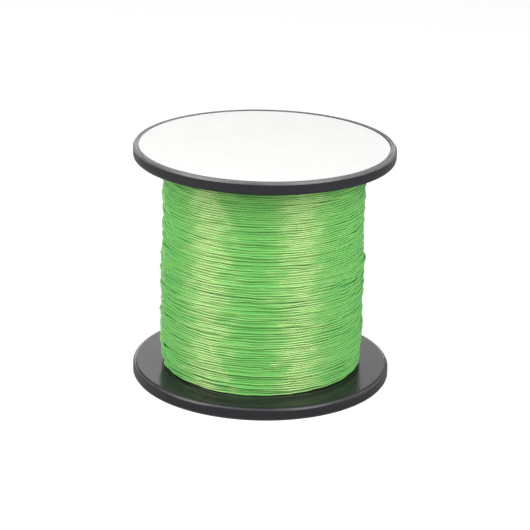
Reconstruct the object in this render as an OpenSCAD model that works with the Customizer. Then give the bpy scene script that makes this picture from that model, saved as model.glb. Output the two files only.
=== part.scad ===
// Bulk spool of braided fishing line, in millimetres.
// Two equal moulded flanges snap into the ends of a cellular barrel. The line is wound
// between them, and a card label lies in the recess of the top flange.
// Z is the axis of the spool, and Z = 0 is the face that it stands on.

/* [Spool] */
// Diameter of both flanges
flange_d = 76; // [70:1:100]
// Height over both flanges
spool_h = 70.3; // [50:0.1:100]

/* [Barrel] */
// Outer diameter of the barrel that the line is wound on
barrel_d = 30; // [28:1:40]
// Wall of the barrel
barrel_wall = 1.5; // [1.2:0.1:2]
// Diameter of the spindle bore
bore_d = 12; // [8:0.5:13]
// Wall of the arbor tube around the bore
arbor_wall = 1.5; // [1.2:0.1:2]
// Number of webs that join the barrel's wall to its arbor tube
web_count = 6; // [4, 6, 8]
// Thickness of a web
web_t = 1.2; // [0.8:0.1:2]

/* [Flange] */
// Thickness over the rim
rim_t = 3.8; // [2.6:0.1:4.5]
// Thickness of the plate that the line lies against
plate_t = 1.4; // [1:0.1:1.6]
// Width of the lip between the label recess and the edge
lip_w = 1.55; // [1.2:0.05:2.5]
// Depth of the label recess below the lip
recess_depth = 0.45; // [0.4:0.05:0.7]
// Width of the ledge that carries the label's edge
ledge_w = 1.8; // [1.4:0.1:3]
// Rounding of the edge on the line's side
line_edge_round = 1.1; // [0.3:0.05:1.2]
// Width of the chamfer at the edge of the outer face
face_chamfer_w = 0.45; // [0.2:0.05:0.5]
// Height of that chamfer
face_chamfer_h = 0.65; // [0.2:0.05:0.8]
// Width of the fine groove that runs round the flat of the lip
groove_w = 0.25; // [0.15:0.05:0.4]
// Depth of that groove
groove_depth = 0.15; // [0.1:0.05:0.3]
// Thickness of the ribs on the outer face
rib_t = 1; // [0.6:0.1:1.5]
// Number of long ribs, from the barrel's ring to the ledge
rib_count = 12; // [6:1:18]
// Mean diameter of the ring rib halfway out
ring_rib_d = 51; // [46:1:60]
// Width of the hub ring around the bore
hub_w = 2.2; // [1.8:0.1:3]
// Lead-in chamfer at the mouth of the bore
bore_lead = 0.4; // [0.2:0.1:0.8]

/* [Snap joint] */
// Height of the spigot that enters the barrel
spigot_h = 6; // [4:0.5:10]
// Thickness of the spigot
spigot_t = 1.2; // [0.8:0.1:1.5]
// Height of the snap bead on the spigot
snap_h = 0.25; // [0.15:0.05:0.4]
// Width of the snap bead at its foot
snap_w = 1.4; // [1:0.1:1.8]
// Clearance between the pieces that fit into each other
fit = 0.05; // [0.03:0.01:0.1]

/* [Drive holes] */
// Diameter of the holes for the winder's drive pins
drive_d = 4; // [2.5:0.5:4]
// Wall of the boss around each hole
drive_wall = 0.9; // [0.6:0.1:1.2]

/* [Label] */
// Thickness of the card
label_t = 0.35; // [0.2:0.05:0.35]
// Radial play of the card in its recess
label_play = 0.25; // [0.25:0.05:1]
// How far the card lies off centre, to the left
label_left = 0.15; // [0:0.05:0.15]
// How far the card lies off centre, to the front
label_front = 0.1; // [0:0.05:0.15]

/* [Line] */
// Diameter of the braided line
line_d = 0.6; // [0.3:0.05:1]
// Diameter over the winding
wound_d = 59.4; // [48:0.2:66]
// Number of turns in the open pass that lies on top
top_turns = 24; // [12:1:24]
// Space between the first and last of those turns and the flanges
top_margin = 0.9; // [0.6:0.1:2]

/* [Anchor tape] */
// Width of the tape that holds the line's inner end on the barrel
tape_w = 10; // [6:1:16]
// Thickness of the tape
tape_t = 0.15; // [0.1:0.01:0.25]

/* [Hidden] */
$fn = 96;
eps = 0.01;

flange_r = flange_d / 2;
recess_r = flange_r - lip_w;
lip_middle_r = (recess_r + flange_r - face_chamfer_w) / 2;
ledge_r = recess_r - ledge_w;
plate_z = rim_t - plate_t;
plate_root = plate_t / 2;

bore_r = bore_d / 2;
arbor_r = bore_r + arbor_wall;
hub_r = bore_r + hub_w;
barrel_r = barrel_d / 2;
barrel_in_r = barrel_r - barrel_wall;
barrel_len = spool_h - 2 * rim_t;
web_pitch = 360 / web_count;
web_root = barrel_wall / 4;

spigot_r = barrel_in_r - fit;
spigot_in_r = spigot_r - spigot_t;
snap_z = spigot_h * 0.6;

drive_count = web_count / 2;
drive_circle_r = (arbor_r + spigot_in_r) / 2;

label_r = recess_r - label_play;

// The open pass is a tube with flat runs between its rings. The pack under it is smaller
// by the height of the arc over one run, so that the middles of the runs just clear it.
rings_per_turn = 24;
tube_sides = 6;
top_r = wound_d / 2 - line_d / 2;
arc_height = top_r * (1 - cos(180 / rings_per_turn));
pack_r = top_r - line_d / 2 - arc_height - fit;
top_pitch = (barrel_len - 2 * top_margin - line_d) / top_turns;
ring_count = top_turns * rings_per_turn + 1;

// What is cut off a square corner at the origin, between -X and -Y, to round it
module corner_waste(round_r) {
    translate([-round_r, -round_r]) difference() {
        square(round_r + eps);
        circle(round_r);
    }
}

// Half section of the flange: rim, lip with its chamfer and fine groove, ledge, plate and hub ring
module flange_section() {
    difference() {
        union() {
            translate([bore_r, plate_z]) square([flange_r - bore_r, plate_t]);
            translate([recess_r, 0]) square([lip_w, rim_t]);
            translate([ledge_r, recess_depth]) square([ledge_w + lip_w / 2, rim_t - recess_depth]);
            translate([bore_r, recess_depth]) square([hub_w, rim_t - recess_depth]);
        }
        translate([flange_r, rim_t]) corner_waste(line_edge_round);
        polygon([
            [flange_r - 1.1 * face_chamfer_w, -0.1 * face_chamfer_h],
            [flange_r + 0.1 * face_chamfer_w, -0.1 * face_chamfer_h],
            [flange_r + 0.1 * face_chamfer_w, 1.1 * face_chamfer_h]
        ]);
        translate([lip_middle_r - groove_w / 2, -eps]) square([groove_w, groove_depth + eps]);
        polygon([
            [bore_r - eps, recess_depth - eps],
            [bore_r + bore_lead + eps, recess_depth - eps],
            [bore_r - eps, recess_depth + bore_lead + eps]
        ]);
    }
}

module ring_outline(inner_r, outer_r) {
    difference() {
        circle(outer_r);
        circle(inner_r);
    }
}

// Outline of all ribs: rings over the barrel's wall and halfway out, long ribs outside the
// barrel, short ones over its webs, and a boss round each drive hole
module rib_outline() {
    ring_outline(barrel_in_r, barrel_r);
    ring_outline(ring_rib_d / 2 - rib_t / 2, ring_rib_d / 2 + rib_t / 2);
    for (i = [0 : rib_count - 1]) rotate(360 * (i + 0.5) / rib_count)
        translate([barrel_r - barrel_wall / 2, -rib_t / 2])
            square([ledge_r + ledge_w / 2 - barrel_r + barrel_wall / 2, rib_t]);
    for (i = [0 : web_count - 1]) rotate(i * web_pitch)
        translate([hub_r - hub_w / 3, -rib_t / 2])
            square([barrel_r - barrel_wall / 2 - hub_r + hub_w / 3, rib_t]);
    at_drive_holes() circle(drive_d / 2 + drive_wall);
}

// The ribs stand on the outer face, from the label's seat into the plate
module ribs() {
    translate([0, 0, recess_depth]) linear_extrude(plate_z - recess_depth + plate_root) rib_outline();
}

// The spigot: a ring with a snap bead, cut through where the barrel's webs run
module spigot() {
    difference() {
        translate([0, 0, rim_t]) rotate_extrude() union() {
            translate([spigot_in_r, -plate_root]) square([spigot_t, spigot_h + plate_root]);
            polygon([
                [spigot_r - spigot_t / 2, snap_z - snap_w / 2],
                [spigot_r, snap_z - snap_w / 2],
                [spigot_r + snap_h, snap_z - snap_w / 8],
                [spigot_r + snap_h, snap_z + snap_w / 8],
                [spigot_r, snap_z + snap_w / 2],
                [spigot_r - spigot_t / 2, snap_z + snap_w / 2]
            ]);
        }
        for (i = [0 : web_count - 1]) rotate([0, 0, i * web_pitch])
            translate([spigot_in_r - 1, -web_t / 2 - fit, rim_t])
                cube([spigot_t + snap_h + 2, web_t + 2 * fit, spigot_h + 1]);
    }
}

// Every second cell of the barrel, halfway between two webs
module at_drive_holes() {
    for (i = [0 : drive_count - 1]) rotate([0, 0, (2 * i + 0.5) * web_pitch])
        translate([drive_circle_r, 0, 0]) children();
}

// One flange, lying on its outer face with the line's side up
module flange() {
    difference() {
        union() {
            rotate_extrude() flange_section();
            ribs();
            spigot();
        }
        at_drive_holes() translate([0, 0, -eps]) cylinder(d = drive_d, h = rim_t + 2 * eps);
    }
}

module bottom_flange() {
    color([0.06, 0.06, 0.065]) flange();
}

module top_flange() {
    color([0.06, 0.06, 0.065]) translate([0, 0, spool_h]) mirror([0, 0, 1]) flange();
}

// The groove for the snap bead, near the lower end of the barrel's wall. Its flanks run on
// inside the wall's surface, so that they cut it cleanly.
module snap_groove() {
    flank = snap_w * 3 / 8;
    foot = snap_w / 2 + fit + flank;
    translate([0, 0, snap_z]) rotate_extrude() polygon([
        [barrel_in_r - snap_h, -foot],
        [barrel_in_r + snap_h, -foot + 2 * flank],
        [barrel_in_r + snap_h, foot - 2 * flank],
        [barrel_in_r - snap_h, foot]
    ]);
}

// Outline of the arbor tube and its webs, which end inside the barrel's wall
module arbor_outline() {
    web_from = bore_r + arbor_wall / 2;
    difference() {
        union() {
            circle(arbor_r);
            for (i = [0 : web_count - 1]) rotate(i * web_pitch)
                translate([web_from, -web_t / 2]) square([barrel_in_r + web_root - web_from, web_t]);
        }
        circle(bore_r);
    }
}

// The barrel: wall and arbor tube, joined by webs over the whole length
module barrel() {
    color([0.09, 0.09, 0.095]) translate([0, 0, rim_t]) {
        difference() {
            linear_extrude(barrel_len) ring_outline(barrel_in_r, barrel_r);
            snap_groove();
            translate([0, 0, barrel_len]) mirror([0, 0, 1]) snap_groove();
        }
        linear_extrude(barrel_len) arbor_outline();
    }
}

// The tape lies once round the barrel, halfway up
module anchor_tape() {
    color([0.85, 0.78, 0.55]) translate([0, 0, (spool_h - tape_w) / 2]) difference() {
        cylinder(r = barrel_r + fit + tape_t, h = tape_w);
        translate([0, 0, -1]) cylinder(r = barrel_r + fit, h = tape_w + 2);
    }
}

// All the line under the open pass, as one body with room for the tape
module line_pack() {
    color([0.20, 0.62, 0.16]) difference() {
        translate([0, 0, rim_t + fit]) cylinder(r = pack_r, h = barrel_len - 2 * fit);
        translate([0, 0, rim_t]) cylinder(r = barrel_r + fit, h = barrel_len);
        translate([0, 0, (spool_h - tape_w) / 2 - fit])
            cylinder(r = barrel_r + tape_t + 2 * fit, h = tape_w + 2 * fit);
    }
}

// Centre of the tube at ring i of the open pass
function pass_point(i) = let (turn = 360 * i / rings_per_turn) [
    top_r * cos(turn),
    top_r * sin(turn),
    rim_t + top_margin + line_d / 2 + top_pitch * i / rings_per_turn
];

// Ring i: points round the tube, in the plane through the spool's axis
function pass_ring(i) = let (turn = 360 * i / rings_per_turn, centre = pass_point(i)) [
    for (side = [0 : tube_sides - 1]) let (
        around = 360 * side / tube_sides,
        reach = line_d / 2 * cos(around)
    ) centre + [reach * cos(turn), reach * sin(turn), line_d / 2 * sin(around)]
];

// The two triangles between side s of ring i and the next ring
function pass_quad(i, s) = let (
    a = i * tube_sides + s,
    b = i * tube_sides + (s + 1) % tube_sides
) [[a, b, a + tube_sides], [b, b + tube_sides, a + tube_sides]];

// Least distance between centres half a turn or more apart, less the line's diameter
function least_gap(centres) = min([
    for (i = [0 : len(centres) - 1])
        for (j = [i + rings_per_turn / 2 : 1 : min(len(centres) - 1, i + 2 * rings_per_turn)])
            norm(centres[i] - centres[j])
]) - line_d;

// The open pass: one unbroken tube, turn after turn over the pack from flange to flange
module line_top_layer() {
    centres = [for (i = [0 : ring_count - 1]) pass_point(i)];
    echo(str("line_top_layer: least gap to itself ", least_gap(centres), " mm"));
    points = [for (i = [0 : ring_count - 1]) each pass_ring(i)];
    walls = [for (i = [0 : ring_count - 2]) for (s = [0 : tube_sides - 1]) each pass_quad(i, s)];
    first_cap = [for (s = [1 : tube_sides - 2]) [0, s + 1, s]];
    last = (ring_count - 1) * tube_sides;
    last_cap = [for (s = [1 : tube_sides - 2]) [last, last + s, last + s + 1]];
    color([0.36, 0.78, 0.28]) polyhedron(points = points, faces = concat(walls, first_cap, last_cap));
}

module top_label() {
    color([0.97, 0.97, 0.97]) translate([-label_left, -label_front, spool_h - recess_depth])
        cylinder(r = label_r, h = label_t);
}

bottom_flange();
top_flange();
barrel();
anchor_tape();
line_pack();
line_top_layer();
top_label();
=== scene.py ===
# Bulk spool of braided fishing line: the line as it is wound, the finishes, the floor,
# the sky, the lamps and the camera. Lengths are in metres, apart from the winding and its
# core, which are worked out in millimetres and turned into metres at their end.
import bpy
import math
import numpy as np
from mathutils import Matrix, Vector


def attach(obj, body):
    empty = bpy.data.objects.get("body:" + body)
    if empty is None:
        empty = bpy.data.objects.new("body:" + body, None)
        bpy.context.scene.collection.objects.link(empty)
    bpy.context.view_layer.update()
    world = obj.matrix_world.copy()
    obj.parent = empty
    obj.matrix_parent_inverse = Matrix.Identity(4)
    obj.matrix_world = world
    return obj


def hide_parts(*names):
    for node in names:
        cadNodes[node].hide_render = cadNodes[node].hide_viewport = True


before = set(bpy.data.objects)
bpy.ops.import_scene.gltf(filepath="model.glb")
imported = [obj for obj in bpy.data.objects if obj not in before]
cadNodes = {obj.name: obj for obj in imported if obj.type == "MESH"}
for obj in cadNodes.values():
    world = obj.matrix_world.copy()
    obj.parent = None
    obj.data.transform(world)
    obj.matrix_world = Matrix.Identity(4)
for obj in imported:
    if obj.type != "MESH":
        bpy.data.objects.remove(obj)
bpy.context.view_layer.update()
scene = bpy.context.scene
mm = 0.001
print("frame loaded:", ", ".join(sorted(cadNodes)))


# Shader helpers

def startMaterial(name):
    material = bpy.data.materials.new(name)
    material.use_nodes = True
    material.node_tree.nodes.clear()
    output = material.node_tree.nodes.new("ShaderNodeOutputMaterial")
    output.location = (900, 0)
    return material, material.node_tree, output


def addNode(tree, kind, place, settings=None, inputs=None, links=None):
    node = tree.nodes.new(kind)
    node.location = place
    for key, value in (settings or {}).items():
        setattr(node, key, value)
    for key, value in (inputs or {}).items():
        node.inputs[key].default_value = value
    for key, source in (links or {}).items():
        tree.links.new(source, node.inputs[key])
    return node


def feedSocket(tree, socket, value):
    if isinstance(value, (int, float, tuple)):
        socket.default_value = value
    else:
        tree.links.new(value, socket)


def mathNode(tree, place, operation, *values):
    node = addNode(tree, "ShaderNodeMath", place, {"operation": operation})
    for socket, value in zip(node.inputs, values):
        feedSocket(tree, socket, value)
    return node.outputs[0]


def mixColours(tree, place, factor, first, second):
    node = addNode(tree, "ShaderNodeMix", place, {"data_type": "RGBA"})
    for index, value in ((0, factor), (6, first), (7, second)):
        feedSocket(tree, node.inputs[index], value)
    return node.outputs[2]


def noiseNode(tree, place, vector, scale, detail, roughness=0.5):
    node = addNode(tree, "ShaderNodeTexNoise", place,
                   inputs={"Scale": scale, "Detail": detail, "Roughness": roughness},
                   links={"Vector": vector})
    return node.outputs["Fac"]


def rampNode(tree, place, factor, low, high, lowValue=0.0, highValue=1.0):
    node = addNode(tree, "ShaderNodeMapRange", place,
                   inputs={1: low, 2: high, 3: lowValue, 4: highValue},
                   links={0: factor})
    return node.outputs[0]


# The line: where each turn lies

winding = {
    "seed": 11,
    "lineThick": 0.6,
    "squeeze": 0.90,           # how much of its thickness a turn keeps under pressure
    "woundDiameter": 59.4,
    "shareInside": 80,         # how many of a hundred places lie within that diameter
    "foot": 3.8,               # inner face of the bottom flange
    "head": 66.5,              # inner face of the top flange
    "flangeRoom": 0.03,        # what an end turn leaves free beside a flange
    "turns": 372,
    "samplesPerTurn": 96,
    "tubeSides": 8,
    "startRadius": 27.6,
    "startHeight": 4.0,        # above the lowest place of a turn
    "slowestPitch": 0.56,      # how far the guide moves in one turn
    "fastestPitch": 0.80,
    "paceDrift": 0.16,         # how much its pace changes on the way
    "driftSamples": 200,
    "paceUptake": 0.07,        # how fast it takes up a new pace after it turns back
    "wander": 0.06,            # how far it strays on its way
    "wanderSamples": 12,
    "turnBackSpread": 0.35,    # how far from the flange the guide may turn back
    "mapStep": 0.05,           # grid of the map that holds the wound surface
    "slipSteps": 18,           # how far a turn may slip aside into a dip, in map steps
    "slipPrice": 0.06,         # what slipping far costs, set against lying lower
    "changePrice": 0.003,      # what each change of slip costs
    "flangePrice": 9.0,        # keeps the turns out of the flanges
    "samplesAtOnce": 24,       # the line is laid in runs of this many samples
    "samplesAhead": 20,
    "samplesBehind": 12,
    "bridgeSweeps": 14,
    "softening": (0.1, 0.2, 0.4, 0.2, 0.1),
    "lumps": 0.14,             # how lumpy the finished winding is
    "lumpWaves": 48,
    "lumpsAround": (8, 30),    # how many waves go round the winding
    "lumpHeights": (3.5, 12),  # how long they are from flange to flange
    "endSamples": 12,
    "endDive": 0.9,            # how deep the outer end is tucked under its neighbours
}


def smoothNoise(draw, count, window, margin):
    raw = draw.normal(0, 1, count + 2 * margin)
    return np.convolve(raw, np.hanning(window), "same")[margin:-margin]


def guidePath(w, draw):
    perTurn = w["samplesPerTurn"]
    count = w["turns"] * perTurn
    reach = w["lineThick"] / 2 + w["flangeRoom"]
    low, high = w["foot"] + reach, w["head"] - reach
    drift = smoothNoise(draw, count, w["driftSamples"], margin=200)
    drift *= w["paceDrift"] / drift.std()
    path = np.empty(count)
    height, speed, direction = low + w["startHeight"], 0.0, 1
    pitch = draw.uniform(w["slowestPitch"], w["fastestPitch"])
    turnAt = high - draw.uniform(0, w["turnBackSpread"])
    for i in range(count):
        wanted = direction * pitch * (1 + drift[i]) / perTurn
        speed += (wanted - speed) * w["paceUptake"]
        height += speed
        if (height - turnAt) * direction > 0:
            direction = -direction
            pitch = draw.uniform(w["slowestPitch"], w["fastestPitch"])
            gap = draw.uniform(0, 1) ** 2 * w["turnBackSpread"]
            turnAt = high - gap if direction > 0 else low + gap
        path[i] = height
    stray = smoothNoise(draw, count, w["wanderSamples"], margin=20)
    path += stray * w["wander"] / stray.std()
    return np.clip(path, low, high), low, high


def cheapestSlips(price, lastSlip, changePrice):
    # prices go by sample and slip, and the slip changes by one step at most
    count, choices = price.shape
    every = np.arange(choices)
    cost = np.full(choices, 1e3)
    cost[lastSlip] = 0.0
    back = np.zeros((count, choices), int)
    for i in range(count):
        options = np.stack([np.r_[1e9, cost[:-1]] + changePrice, cost,
                            np.r_[cost[1:], 1e9] + changePrice])
        pick = options.argmin(axis=0)
        cost = options[pick, every] + price[i]
        back[i] = every + pick - 1
    chosen = np.zeros(count, int)
    chosen[-1] = cost.argmin()
    for i in range(count - 1, 0, -1):
        chosen[i - 1] = back[i, chosen[i]]
    return chosen


def bridgeDips(before, held, sag, sweeps):
    # a taut line bridges the dips that it can't follow
    chain = np.r_[before, held]
    rest = chain.copy()
    for sweep in range(sweeps):
        chain[1:-1] = np.maximum(rest[1:-1], (chain[:-2] + chain[2:]) / 2 - sag)
        chain[:len(before)] = before
    return chain[len(before):]


def layTheLine(w):
    perTurn, step, slip = w["samplesPerTurn"], w["mapStep"], w["slipSteps"]
    guide, low, high = guidePath(w, np.random.default_rng(w["seed"]))
    count = len(guide)
    touch = w["lineThick"] / 2 * w["squeeze"]
    reach = int(touch / step)
    across = np.arange(-reach, reach + 1)
    lift = np.sqrt(touch ** 2 - (across * step) ** 2)
    pad = reach + slip + 2
    columns = int(round((high - low) / step)) + 1 + 2 * pad
    surface = np.full((perTurn, columns), w["startRadius"])
    slips = np.arange(-slip, slip + 1)
    window = np.arange(-reach - slip, reach + slip + 1)
    slipCost = w["slipPrice"] * (slips * step) ** 2
    sag = (2 * math.pi * w["startRadius"] / perTurn) ** 2 / (2 * w["startRadius"])
    radius, place = np.zeros(count), np.zeros(count)
    lastSlip = slip
    for start in range(0, count, w["samplesAtOnce"]):
        end = min(start + w["samplesAtOnce"] + w["samplesAhead"], count)
        span = np.arange(start, end)
        rows = span % perTurn
        middle = np.rint((guide[span] - low) / step).astype(int) + pad
        near = surface[rows[:, None], middle[:, None] + window[None, :]]
        parts = np.lib.stride_tricks.sliding_window_view(near, 2 * reach + 1, axis=1)
        contact = (parts + lift).max(axis=2)
        offset = guide[span][:, None] + slips * step
        outside = (offset < low) | (offset > high)
        price = contact + slipCost + w["flangePrice"] * outside
        chosen = cheapestSlips(price, lastSlip, w["changePrice"])
        held = contact[np.arange(len(span)), chosen]
        before = radius[max(start - w["samplesBehind"], 0):start]
        chain = bridgeDips(before, held, sag, w["bridgeSweeps"])
        kept = min(w["samplesAtOnce"], len(span))
        radius[span[:kept]] = chain[:kept]
        place[span[:kept]] = guide[span[:kept]] + slips[chosen[:kept]] * step
        lastSlip = chosen[kept - 1]
        rows, middle = rows[:kept], middle[:kept] + slips[chosen[:kept]]
        spots = (rows[:, None], middle[:, None] + across[None, :])
        surface[spots] = np.maximum(surface[spots], chain[:kept, None] + lift)
    wound = surface[:, pad:-pad]
    shift = w["woundDiameter"] / 2 - np.percentile(wound, w["shareInside"])
    height = np.convolve(np.pad(place, 2, "edge"), w["softening"], "valid")
    coreRadius = w["startRadius"] + shift
    print("line laid: %d turns, start radius %.2f mm, surface %.2f to %.2f mm" % (
        w["turns"], coreRadius, wound.min() + shift, np.percentile(wound, 99.9) + shift))
    return radius + shift, height, coreRadius


def windingLumps(w, angle, height):
    draw = np.random.default_rng(w["seed"] + 1)
    total = np.zeros(len(angle))
    for wave in range(w["lumpWaves"]):
        around = int(draw.integers(*w["lumpsAround"])) * draw.choice((-1, 1))
        upwards = 2 * math.pi / draw.uniform(*w["lumpHeights"])
        total += np.sin(around * angle + upwards * height + draw.uniform(0, 2 * math.pi))
    growth = np.linspace(0, 1, len(angle))  # the deep turns lie even
    return total * growth * w["lumps"] * math.sqrt(2 / w["lumpWaves"])


def linePath(w):
    radius, height, coreRadius = layTheLine(w)
    angle = np.arange(len(radius)) * 2 * math.pi / w["samplesPerTurn"] + 0.5 * math.pi
    radius = radius + windingLumps(w, angle, height)
    toEnd = (np.arange(len(radius)) - len(radius) + w["endSamples"]) / w["endSamples"]
    radius = radius - np.clip(toEnd, 0, 1) ** 2 * w["endDive"]
    return np.c_[radius * np.cos(angle), radius * np.sin(angle), height] * mm, coreRadius


linePoints, coreRadius = linePath(winding)


# The line: tubes along those turns

def lineTree(name):
    tree = bpy.data.node_groups.new(name, "GeometryNodeTree")

    def addSocket(title, kind, way="INPUT"):
        return tree.interface.new_socket(title, in_out=way, socket_type="NodeSocket" + kind)

    addSocket("Geometry", "Geometry")
    thick = addSocket("Line Thickness", "Float")
    sides = addSocket("Sides", "Int")
    finish = addSocket("Finish", "Material")
    addSocket("Geometry", "Geometry", "OUTPUT")
    given = addNode(tree, "NodeGroupInput", (-900, 0))
    result = addNode(tree, "NodeGroupOutput", (900, 0))

    # the length along the line is kept on its points, and the way round on the ring's
    alongLine = addNode(tree, "GeometryNodeSplineParameter", (-900, -260))
    upright = addNode(tree, "GeometryNodeSetCurveNormal", (-700, 80), {"mode": "Z_UP"},
                      links={"Curve": given.outputs["Geometry"]})
    measured = addNode(tree, "GeometryNodeCaptureAttribute", (-500, 60), {"domain": "POINT"})
    measured.capture_items.new("FLOAT", "Along")
    tree.links.new(upright.outputs["Curve"], measured.inputs["Geometry"])
    tree.links.new(alongLine.outputs["Length"], measured.inputs["Along"])
    half = mathNode(tree, (-700, -160), "MULTIPLY", given.outputs["Line Thickness"], 0.5)
    ring = addNode(tree, "GeometryNodeCurvePrimitiveCircle", (-500, -160), {"mode": "RADIUS"},
                   links={"Resolution": given.outputs["Sides"], "Radius": half})
    aroundRing = addNode(tree, "GeometryNodeSplineParameter", (-500, -360))
    turned = addNode(tree, "GeometryNodeCaptureAttribute", (-300, -160), {"domain": "POINT"})
    turned.capture_items.new("FLOAT", "Around")
    tree.links.new(ring.outputs["Curve"], turned.inputs["Geometry"])
    tree.links.new(aroundRing.outputs["Factor"], turned.inputs["Around"])
    tube = addNode(tree, "GeometryNodeCurveToMesh", (-100, 0), inputs={"Fill Caps": True},
                   links={"Curve": measured.outputs["Geometry"],
                          "Profile Curve": turned.outputs["Geometry"]})

    # the weave follows the tube: the way round as a cosine and a sine, and the length
    angle = mathNode(tree, (-100, -240), "MULTIPLY", turned.outputs["Around"], 2 * math.pi)
    cosine = mathNode(tree, (80, -200), "COSINE", angle)
    sine = mathNode(tree, (80, -360), "SINE", angle)
    weave = addNode(tree, "ShaderNodeCombineXYZ", (260, -240),
                    links={"X": cosine, "Y": sine, "Z": measured.outputs["Along"]})
    stored = addNode(tree, "GeometryNodeStoreNamedAttribute", (260, 0),
                     {"data_type": "FLOAT_VECTOR", "domain": "POINT"},
                     {"Name": "lineWeave"},
                     {"Geometry": tube.outputs["Mesh"], "Value": weave.outputs[0]})
    rounded = addNode(tree, "GeometryNodeSetShadeSmooth", (440, 0),
                      links={"Geometry": stored.outputs["Geometry"]})
    real = addNode(tree, "GeometryNodeRealizeInstances", (580, 0),
                   links={"Geometry": rounded.outputs["Geometry"]})
    painted = addNode(tree, "GeometryNodeSetMaterial", (740, 0),
                      links={"Geometry": real.outputs["Geometry"],
                             "Material": given.outputs["Finish"]})
    tree.links.new(painted.outputs["Geometry"], result.inputs["Geometry"])
    return tree, {"thick": thick.identifier, "sides": sides.identifier,
                  "finish": finish.identifier}


def lineCurve(points, name):
    curve = bpy.data.curves.new(name, "CURVE")
    curve.dimensions = "3D"
    spline = curve.splines.new("POLY")
    spline.points.add(len(points) - 1)
    spline.points.foreach_set("co", np.c_[points, np.ones(len(points))].ravel())
    curveObject = bpy.data.objects.new(name, curve)
    scene.collection.objects.link(curveObject)
    return curveObject


def bakeTree(curveObject, tree, values, name):
    modifier = curveObject.modifiers.new("build", "NODES")
    modifier.node_group = tree
    for identifier, value in values.items():
        modifier[identifier] = value
    evaluated = curveObject.evaluated_get(bpy.context.evaluated_depsgraph_get())
    mesh = bpy.data.meshes.new_from_object(evaluated)
    mesh.name = name
    piece = bpy.data.objects.new(name, mesh)
    scene.collection.objects.link(piece)
    bpy.data.objects.remove(curveObject)
    return piece


braid = {
    "colour": (0.140, 0.640, 0.060, 1),
    "paleColour": (0.235, 0.715, 0.095, 1),
    # the colour of the painted shade between the yarns and between the turns
    "paintedShadeColour": (0.004, 0.360, 0.130, 1),
    "paleScale": 28.0,         # how often the dye turns pale in a metre of line
    "pickLength": 0.42 * mm,
    "carriers": 4,
    "weaveDepth": 0.025 * mm,
    "weaveStrength": 0.18,
    "fibreScale": 2400.0,
    "roughness": 0.47,
    "roughnessSpread": 0.06,
    "ior": 2.02,
    "glossTint": (1.0, 0.70, 0.50, 1),
    "anisotropy": 0.66,
    "glossTurn": 0.25,         # the gloss spreads across the filaments
}


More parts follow.
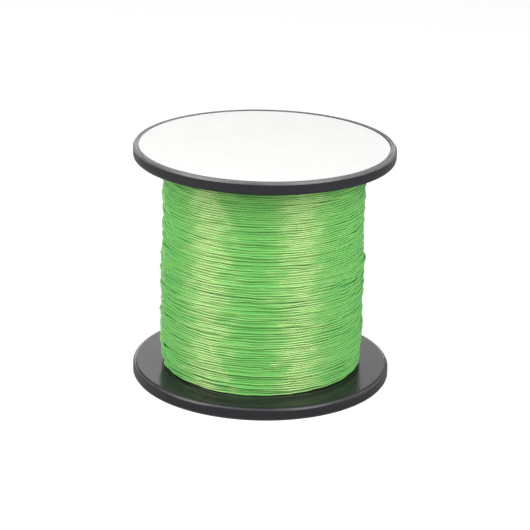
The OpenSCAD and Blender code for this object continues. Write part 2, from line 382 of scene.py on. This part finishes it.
def lineMaterial(b):
    material, tree, output = startMaterial("braidedLine")
    weave = addNode(tree, "ShaderNodeAttribute", (-1700, 0), {"attribute_name": "lineWeave"})
    split = addNode(tree, "ShaderNodeSeparateXYZ", (-1520, 0),
                    links={0: weave.outputs["Vector"]})
    angle = mathNode(tree, (-1340, 60), "ARCTAN2", split.outputs[1], split.outputs[0])
    around = mathNode(tree, (-1180, 60), "MULTIPLY", angle, b["carriers"] / (2 * math.pi))
    along = mathNode(tree, (-1180, -120), "MULTIPLY", split.outputs[2], 1 / b["pickLength"])

    # yarns wind both ways, and each is highest along its middle
    heights, cells = [], []
    for row, operation in ((0, "ADD"), (-260, "SUBTRACT")):
        yarnTurn = mathNode(tree, (-1000, row), operation, around, along)
        share = mathNode(tree, (-840, row), "FRACT", yarnTurn)
        cells.append(mathNode(tree, (-840, row - 120), "FLOOR", yarnTurn))
        heights.append(mathNode(tree, (-520, row), "SINE",
                                mathNode(tree, (-680, row), "MULTIPLY", share, math.pi)))
    parity = mathNode(tree, (-520, -420), "PINGPONG",
                      mathNode(tree, (-680, -420), "ADD", cells[0], cells[1]), 1.0)

    # the yarn on top in a cell bulges across itself, and dips where it goes under
    overs = []
    for row, (top, under) in ((0, heights), (-200, heights[::-1])):
        dip = mathNode(tree, (-340, row), "MULTIPLY_ADD", under, 0.45, 0.55)
        overs.append(mathNode(tree, (-180, row), "MULTIPLY", top, dip))
    yarn = addNode(tree, "ShaderNodeMix", (-20, -60), {"data_type": "FLOAT"},
                   links={0: parity, 2: overs[0], 3: overs[1]}).outputs[0]

    # the dye varies slowly along the line
    lengthwise = addNode(tree, "ShaderNodeCombineXYZ", (-1000, -620),
                         links={0: split.outputs[2]}).outputs[0]
    slow = noiseNode(tree, (-820, -620), lengthwise, b["paleScale"], 2.0)
    tone = mixColours(tree, (160, 160), rampNode(tree, (-640, -620), slow, 0.36, 0.66),
                      b["colour"], b["paleColour"])

    # painted shade: the colour is made darker and more teal between the yarns, and on the
    # sides of each turn that face the next turn, where shade falls
    sideways = mathNode(tree, (-20, 340), "ABSOLUTE", split.outputs[1])
    clear = mathNode(tree, (340, 260), "MULTIPLY",
                     rampNode(tree, (160, -60), yarn, 0.1, 0.75),
                     rampNode(tree, (160, 340), sideways, 0.6, 1.0, 1.0, 0.1))
    colour = mixColours(tree, (340, 100), clear, b["paintedShadeColour"], tone)

    place = addNode(tree, "ShaderNodeTexCoord", (-1000, -860)).outputs["Object"]
    fibre = noiseNode(tree, (-820, -860), place, b["fibreScale"], 2.0)
    roughness = rampNode(tree, (340, -120), fibre, 0.3, 0.7,
                         b["roughness"] - b["roughnessSpread"],
                         b["roughness"] + b["roughnessSpread"])
    height = mathNode(tree, (340, -300), "MULTIPLY_ADD", fibre, 0.25, yarn)
    bump = addNode(tree, "ShaderNodeBump", (520, -300),
                   inputs={"Strength": b["weaveStrength"], "Distance": b["weaveDepth"]},
                   links={"Height": height})

    # the filaments run along the line, so its gloss spreads across them
    alongTurn = addNode(tree, "ShaderNodeTangent", (340, -520),
                        {"direction_type": "RADIAL", "axis": "Z"})
    shader = addNode(tree, "ShaderNodeBsdfPrincipled", (640, 0),
                     inputs={"IOR": b["ior"], "Specular IOR Level": 1.0,
                             "Specular Tint": b["glossTint"],
                             "Anisotropic": b["anisotropy"],
                             "Anisotropic Rotation": b["glossTurn"]},
                     links={"Base Color": colour, "Roughness": roughness,
                            "Normal": bump.outputs[0], "Tangent": alongTurn.outputs[0]})
    tree.links.new(shader.outputs[0], output.inputs[0])
    return material


def makeTurns(w, material, names):
    tree, sockets = lineTree("windingTree")
    values = {sockets["thick"]: w["lineThick"] * mm, sockets["sides"]: w["tubeSides"],
              sockets["finish"]: material}
    cuts = np.linspace(0, len(linePoints) - 1, len(names) + 1).astype(int)
    for name, first, last in zip(names, cuts[:-1], cuts[1:]):
        path = lineCurve(linePoints[first:last + 1], name + "Path")
        piece = bakeTree(path, tree, values, name)
        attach(piece, "root")
        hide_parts("line_top_layer")
        triangles = sum(len(face.vertices) - 2 for face in piece.data.polygons)
        print("%s: %d triangles" % (name, triangles))


braidedLine = lineMaterial(braid)
makeTurns(winding, braidedLine, ("lineInnerTurns", "lineMiddleTurns", "lineOuterTurns"))


# The line under those turns, one ring with a ridge for each turn

core = {
    "segments": 64,
    "pointsPerRidge": 4,
    "innerRadius": 15.15,
    "ridge": 0.12,
    "under": 0.05,             # how far it lies under the first turns
    "endRoom": 0.02,
}


def ringMesh(name, profile, segments):
    # the profile is a closed loop of (radius, z) that runs anticlockwise in the (r, z) plane
    turns = np.arange(segments) * 2 * math.pi / segments
    profile = np.array(profile)
    points = np.stack([np.outer(np.cos(turns), profile[:, 0]),
                       np.outer(np.sin(turns), profile[:, 0]),
                       np.outer(np.ones(segments), profile[:, 1])], axis=2).reshape(-1, 3)
    row = len(profile)
    faces = []
    for s in range(segments):
        here, there = s * row, (s + 1) % segments * row
        for p in range(row):
            following = (p + 1) % row
            faces.append((there + p, there + following, here + following, here + p))
    mesh = bpy.data.meshes.new(name)
    mesh.from_pydata(points.tolist(), [], faces)
    mesh.validate()
    piece = bpy.data.objects.new(name, mesh)
    scene.collection.objects.link(piece)
    return piece


def makeCore(c, w, radius, material):
    ridges = int((w["head"] - w["foot"]) / w["lineThick"])
    count = ridges * c["pointsPerRidge"]
    heights = np.linspace(w["foot"] + c["endRoom"], w["head"] - c["endRoom"], count + 1) * mm
    wave = np.abs(np.sin(np.arange(count + 1) * math.pi / c["pointsPerRidge"]))
    outer = (radius - c["under"] - c["ridge"] * (1 - wave)) * mm
    inner = c["innerRadius"] * mm
    profile = list(zip(outer, heights)) + [(inner, heights[-1]), (inner, heights[0])]
    piece = ringMesh("lineCore", profile, c["segments"])
    piece.data.shade_smooth()
    piece.data.materials.append(material)
    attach(piece, "root")
    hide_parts("line_pack")
    print("lineCore: radius %.2f mm, %d faces" % (radius, len(piece.data.polygons)))


makeCore(core, winding, coreRadius, braidedLine)


# Moulded black plastic

plastic = {
    "colour": (0.017, 0.017, 0.022, 1),
    "wearSheenColour": (0.055, 0.055, 0.058, 1),
    "wearSheenInset": (0.7 * mm, 0.4 * mm),    # depths under the rim's surface, where the wear and the painted sheen fade in
    "wornHeight": (0.5 * mm, 0.7 * mm),   # distances from an edge, where the wear and the painted sheen fade out
    "roughness": 0.19,
    "ior": 1.42,
    "grainDepth": 0.01 * mm,
    "grainStrength": 0.25,
}
flange = {"radius": 38 * mm, "rim": 3.8 * mm, "spoolHeight": 70.3 * mm}
barrel = {"radius": 15 * mm, "foot": 3.8 * mm, "head": 66.5 * mm}


def plasticMaterial(name, p, edgeRadius, edgeHeights):
    material, tree, output = startMaterial(name)
    place = addNode(tree, "ShaderNodeTexCoord", (-1300, 0)).outputs["Object"]
    fine = noiseNode(tree, (-1000, 200), place, 1500.0, 3.0)
    broad = noiseNode(tree, (-1000, 0), place, 90.0, 4.0)
    scuffs = noiseNode(tree, (-1000, -200), place, 420.0, 6.0, 0.65)

    # the outer edges are paler: on the top flange this is a painted sheen, a reflection of
    # light from above painted into the colour; on the bottom flange and the barrel it is
    # slight wear
    split = addNode(tree, "ShaderNodeSeparateXYZ", (-1100, -420), links={0: place})
    flat = addNode(tree, "ShaderNodeCombineXYZ", (-940, -420),
                   links={0: split.outputs[0], 1: split.outputs[1]}).outputs[0]
    outward = addNode(tree, "ShaderNodeVectorMath", (-780, -420), {"operation": "LENGTH"},
                      links={0: flat}).outputs["Value"]
    rim = rampNode(tree, (-620, -420), outward, edgeRadius - p["wearSheenInset"][0],
                   edgeRadius - p["wearSheenInset"][1])
    nearest = None
    for row, height in enumerate(edgeHeights):
        below = mathNode(tree, (-940, -600 - 160 * row), "SUBTRACT", split.outputs[2], height)
        gap = mathNode(tree, (-780, -600 - 160 * row), "ABSOLUTE", below)
        nearest = gap if nearest is None else mathNode(
            tree, (-620, -600 - 160 * row), "MINIMUM", nearest, gap)
    close = rampNode(tree, (-460, -600), nearest, *p["wornHeight"], 1.0, 0.0)
    edge = mathNode(tree, (-300, -500), "MULTIPLY", rim, close)
    worn = mathNode(tree, (-140, -400), "MULTIPLY", edge,
                    rampNode(tree, (-460, -220), scuffs, 0.35, 0.65, 0.6, 1.0))

    # pale edges: slight wear, and on the top flange a painted sheen
    colour = mixColours(tree, (60, 100), worn, p["colour"], p["wearSheenColour"])
    sheen = rampNode(tree, (-460, 0), broad, 0.3, 0.7,
                     p["roughness"] - 0.03, p["roughness"] + 0.05)
    roughness = mathNode(tree, (60, -100), "MULTIPLY_ADD", worn, 0.18, sheen)
    relief = mathNode(tree, (60, -260), "MULTIPLY_ADD", broad, 0.6, fine)
    bump = addNode(tree, "ShaderNodeBump", (240, -260),
                   inputs={"Strength": p["grainStrength"], "Distance": p["grainDepth"]},
                   links={"Height": relief})
    shader = addNode(tree, "ShaderNodeBsdfPrincipled", (500, 0), inputs={"IOR": p["ior"]},
                     links={"Base Color": colour, "Roughness": roughness,
                            "Normal": bump.outputs[0]})
    tree.links.new(shader.outputs[0], output.inputs[0])
    return material


def dress(node, material):
    for slot in cadNodes[node].material_slots:
        slot.material = material


# the outer edge of the top flange is painted pale, a painted reflection of light from above,
# and the barrel is duller
paintedSheenTop = {**plastic, "wearSheenColour": (0.15, 0.15, 0.155, 1)}
dull = {**plastic, "roughness": 0.34}
dress("bottom_flange", plasticMaterial("flangePlastic", plastic, flange["radius"],
                                       (0.0, flange["rim"])))
dress("top_flange", plasticMaterial("paintedSheenPlastic", paintedSheenTop, flange["radius"],
                                    (flange["spoolHeight"],)))
dress("barrel", plasticMaterial("barrelPlastic", dull, barrel["radius"],
                                (barrel["foot"], barrel["head"])))
print("plastic dressed")


# Card and tape

card = {
    "colour": (0.885, 0.885, 0.89, 1),
    "shade": (0.85, 0.855, 0.865, 1),
    "roughness": 0.50,
    "fibreScale": 1800.0,
    "fibreDepth": 0.01 * mm,
}
tape = {
    "colour": (0.60, 0.47, 0.24, 1),
    "shade": (0.46, 0.34, 0.16, 1),
    "roughness": 0.38,
    "fibreScale": 2600.0,
    "fibreDepth": 0.02 * mm,
}


def sheetMaterial(name, p):
    material, tree, output = startMaterial(name)
    place = addNode(tree, "ShaderNodeTexCoord", (-900, 0)).outputs["Object"]
    fibre = noiseNode(tree, (-600, 120), place, p["fibreScale"], 5.0, 0.6)
    cloud = noiseNode(tree, (-600, -120), place, p["fibreScale"] / 14, 3.0)
    colour = mixColours(tree, (-200, 120), rampNode(tree, (-400, 0), cloud, 0.3, 0.8),
                        p["colour"], p["shade"])
    roughness = rampNode(tree, (-200, -60), fibre, 0.3, 0.7,
                         p["roughness"] - 0.05, p["roughness"] + 0.07)
    bump = addNode(tree, "ShaderNodeBump", (-200, -240),
                   inputs={"Strength": 0.35, "Distance": p["fibreDepth"]},
                   links={"Height": fibre})
    shader = addNode(tree, "ShaderNodeBsdfPrincipled", (200, 0), inputs={"IOR": 1.42},
                     links={"Base Color": colour, "Roughness": roughness,
                            "Normal": bump.outputs[0]})
    tree.links.new(shader.outputs[0], output.inputs[0])
    return material


dress("top_label", sheetMaterial("labelCard", card))
dress("anchor_tape", sheetMaterial("anchorTape", tape))
print("card and tape dressed")


# Floor and sky

floor = {
    "radius": 3.0,
    "sides": 64,
    "drop": 0.02 * mm,
    "colour": (0.44, 0.44, 0.44, 1),
    "glow": 0.77,              # how much paler the camera sees it
    "glossGlow": 0.0,          # the same for what gloss and glass see
}


def makeFloor(f):
    angles = [2 * math.pi * i / f["sides"] for i in range(f["sides"])]
    ring = [(f["radius"] * math.cos(angle), f["radius"] * math.sin(angle), -f["drop"])
            for angle in angles]
    mesh = bpy.data.meshes.new("floor")
    mesh.from_pydata(ring, [], [tuple(range(f["sides"]))])
    piece = bpy.data.objects.new("floor", mesh)
    scene.collection.objects.link(piece)
    material, tree, output = startMaterial("floorPaper")
    rays = addNode(tree, "ShaderNodeLightPath", (-700, 0))
    gloss = mathNode(tree, (-520, -200), "MAXIMUM", rays.outputs["Is Glossy Ray"],
                     rays.outputs["Is Transmission Ray"])
    glossGlow = mathNode(tree, (-360, -200), "MULTIPLY", gloss, f["glossGlow"])
    seen = mathNode(tree, (-360, -40), "MULTIPLY_ADD", rays.outputs["Is Camera Ray"],
                    f["glow"], glossGlow)
    paper = addNode(tree, "ShaderNodeBsdfDiffuse", (-300, 0), inputs={"Color": f["colour"]})
    glow = addNode(tree, "ShaderNodeEmission", (-180, -160), inputs={"Color": (1, 1, 1, 1)},
                   links={"Strength": seen})
    both = addNode(tree, "ShaderNodeAddShader", (-60, 0),
                   links={0: paper.outputs[0], 1: glow.outputs[0]})
    tree.links.new(both.outputs[0], output.inputs[0])
    mesh.materials.append(material)


sky = {
    "seen": 1.0,
    "fill": 0.26,
    "room": 0.55,              # how bright the room looks in the gloss
    # lit walls in the gloss: azimuth, where each fades in, where it is full, strength
    "walls": ((190, 0.86, 0.97, 1.8),
              (96, 0.72, 0.95, 0.7)),
}


def makeSky(s):
    world = bpy.data.worlds.new("studio")
    scene.world = world
    world.use_nodes = True
    tree = world.node_tree
    tree.nodes.clear()
    output = addNode(tree, "ShaderNodeOutputWorld", (300, 0))
    rays = addNode(tree, "ShaderNodeLightPath", (-700, 0))
    gloss = mathNode(tree, (-600, -160), "MAXIMUM", rays.outputs["Is Glossy Ray"],
                     rays.outputs["Is Transmission Ray"])
    seen = mathNode(tree, (-500, 0), "MAXIMUM", rays.outputs["Is Camera Ray"], gloss)
    looking = addNode(tree, "ShaderNodeTexCoord", (-1100, 300)).outputs["Generated"]
    room = s["room"]
    for row, (azimuth, fades, full, strength) in enumerate(s["walls"]):
        turned = math.radians(azimuth)
        facing = addNode(tree, "ShaderNodeVectorMath", (-900, 300 + 200 * row),
                         {"operation": "DOT_PRODUCT"},
                         {1: (math.sin(turned), -math.cos(turned), 0)}, {0: looking})
        wall = rampNode(tree, (-700, 300 + 200 * row), facing.outputs["Value"], fades, full,
                        0.0, strength)
        room = mathNode(tree, (-500, 300 + 200 * row), "ADD", wall, room)
    reflected = rampNode(tree, (-400, 200), rays.outputs["Is Glossy Ray"], 0.0, 1.0,
                         s["seen"], 1.0)
    tree.links.new(room, reflected.node.inputs[4])
    strength = rampNode(tree, (-200, -60), seen, 0.0, 1.0, s["fill"], s["seen"])
    tree.links.new(reflected, strength.node.inputs[4])
    back = addNode(tree, "ShaderNodeBackground", (60, 0), inputs={"Color": (1, 1, 1, 1)},
                   links={"Strength": strength})
    tree.links.new(back.outputs[0], output.inputs[0])


makeFloor(floor)
makeSky(sky)


# Lamps

lamps = {
    "leftBox": {"azimuth": -63, "elevation": 30, "distance": 0.60, "width": 0.34,
                "height": 0.60, "power": 3.60, "colour": (1.0, 0.99, 0.96)},
    "rightBox": {"azimuth": 44, "elevation": 30, "distance": 0.60, "width": 0.35,
                 "height": 0.60, "power": 3.60, "colour": (1.0, 0.99, 0.96)},
}
lampTarget = Vector((0, 0, 35 * mm))


def makeLamp(name, lamp):
    light = bpy.data.lights.new(name, "AREA")
    light.shape = "RECTANGLE"
    light.size, light.size_y = lamp["width"], lamp["height"]
    light.energy, light.color = lamp["power"], lamp["colour"]
    holder = bpy.data.objects.new(name, light)
    azimuth, elevation = math.radians(lamp["azimuth"]), math.radians(lamp["elevation"])
    away = Vector((math.sin(azimuth) * math.cos(elevation),
                   -math.cos(azimuth) * math.cos(elevation), math.sin(elevation)))
    holder.location = lampTarget + away * lamp["distance"]
    holder.rotation_euler = (-away).to_track_quat("-Z", "Y").to_euler()
    scene.collection.objects.link(holder)


for name, lamp in lamps.items():
    makeLamp(name, lamp)
print("floor, sky and lamps made")


# Camera

cameraView = {
    "elevation": 19.623,
    "roll": 1.272,
    "distance": 0.596524,
    "focalPixels": 2030.867,
    "framePixels": 530,
    "centre": (262.617, 258.42),   # where the middle of the spool falls in the frame
    "middle": 35.305 * mm,
    "sensor": 36,
    "clip": (0.01, 20),
}


def makeCamera(c):
    tilt, roll = math.radians(c["elevation"]), math.radians(c["roll"])
    ahead = Vector((0, math.cos(tilt), -math.sin(tilt)))
    right = Vector((1, 0, 0))
    up = right.cross(ahead)
    across = math.cos(roll) * right + math.sin(roll) * up
    upright = -math.sin(roll) * right + math.cos(roll) * up
    half = c["framePixels"] / 2
    offX = (c["centre"][0] - half) / c["focalPixels"]
    offY = -(c["centre"][1] - half) / c["focalPixels"]
    camera = bpy.data.cameras.new("camera")
    camera.sensor_width = c["sensor"]
    camera.lens = c["focalPixels"] * c["sensor"] / c["framePixels"]
    camera.clip_start, camera.clip_end = c["clip"]
    holder = bpy.data.objects.new("camera", camera)
    turned = Matrix((across, upright, -ahead)).transposed().to_4x4()
    spot = Vector((0, 0, c["middle"])) - c["distance"] * (
        ahead + offX * across + offY * upright)
    holder.matrix_world = Matrix.Translation(spot) @ turned
    scene.collection.objects.link(holder)
    scene.camera = holder


makeCamera(cameraView)
scene.view_settings.view_transform = "Standard"
print("camera made")
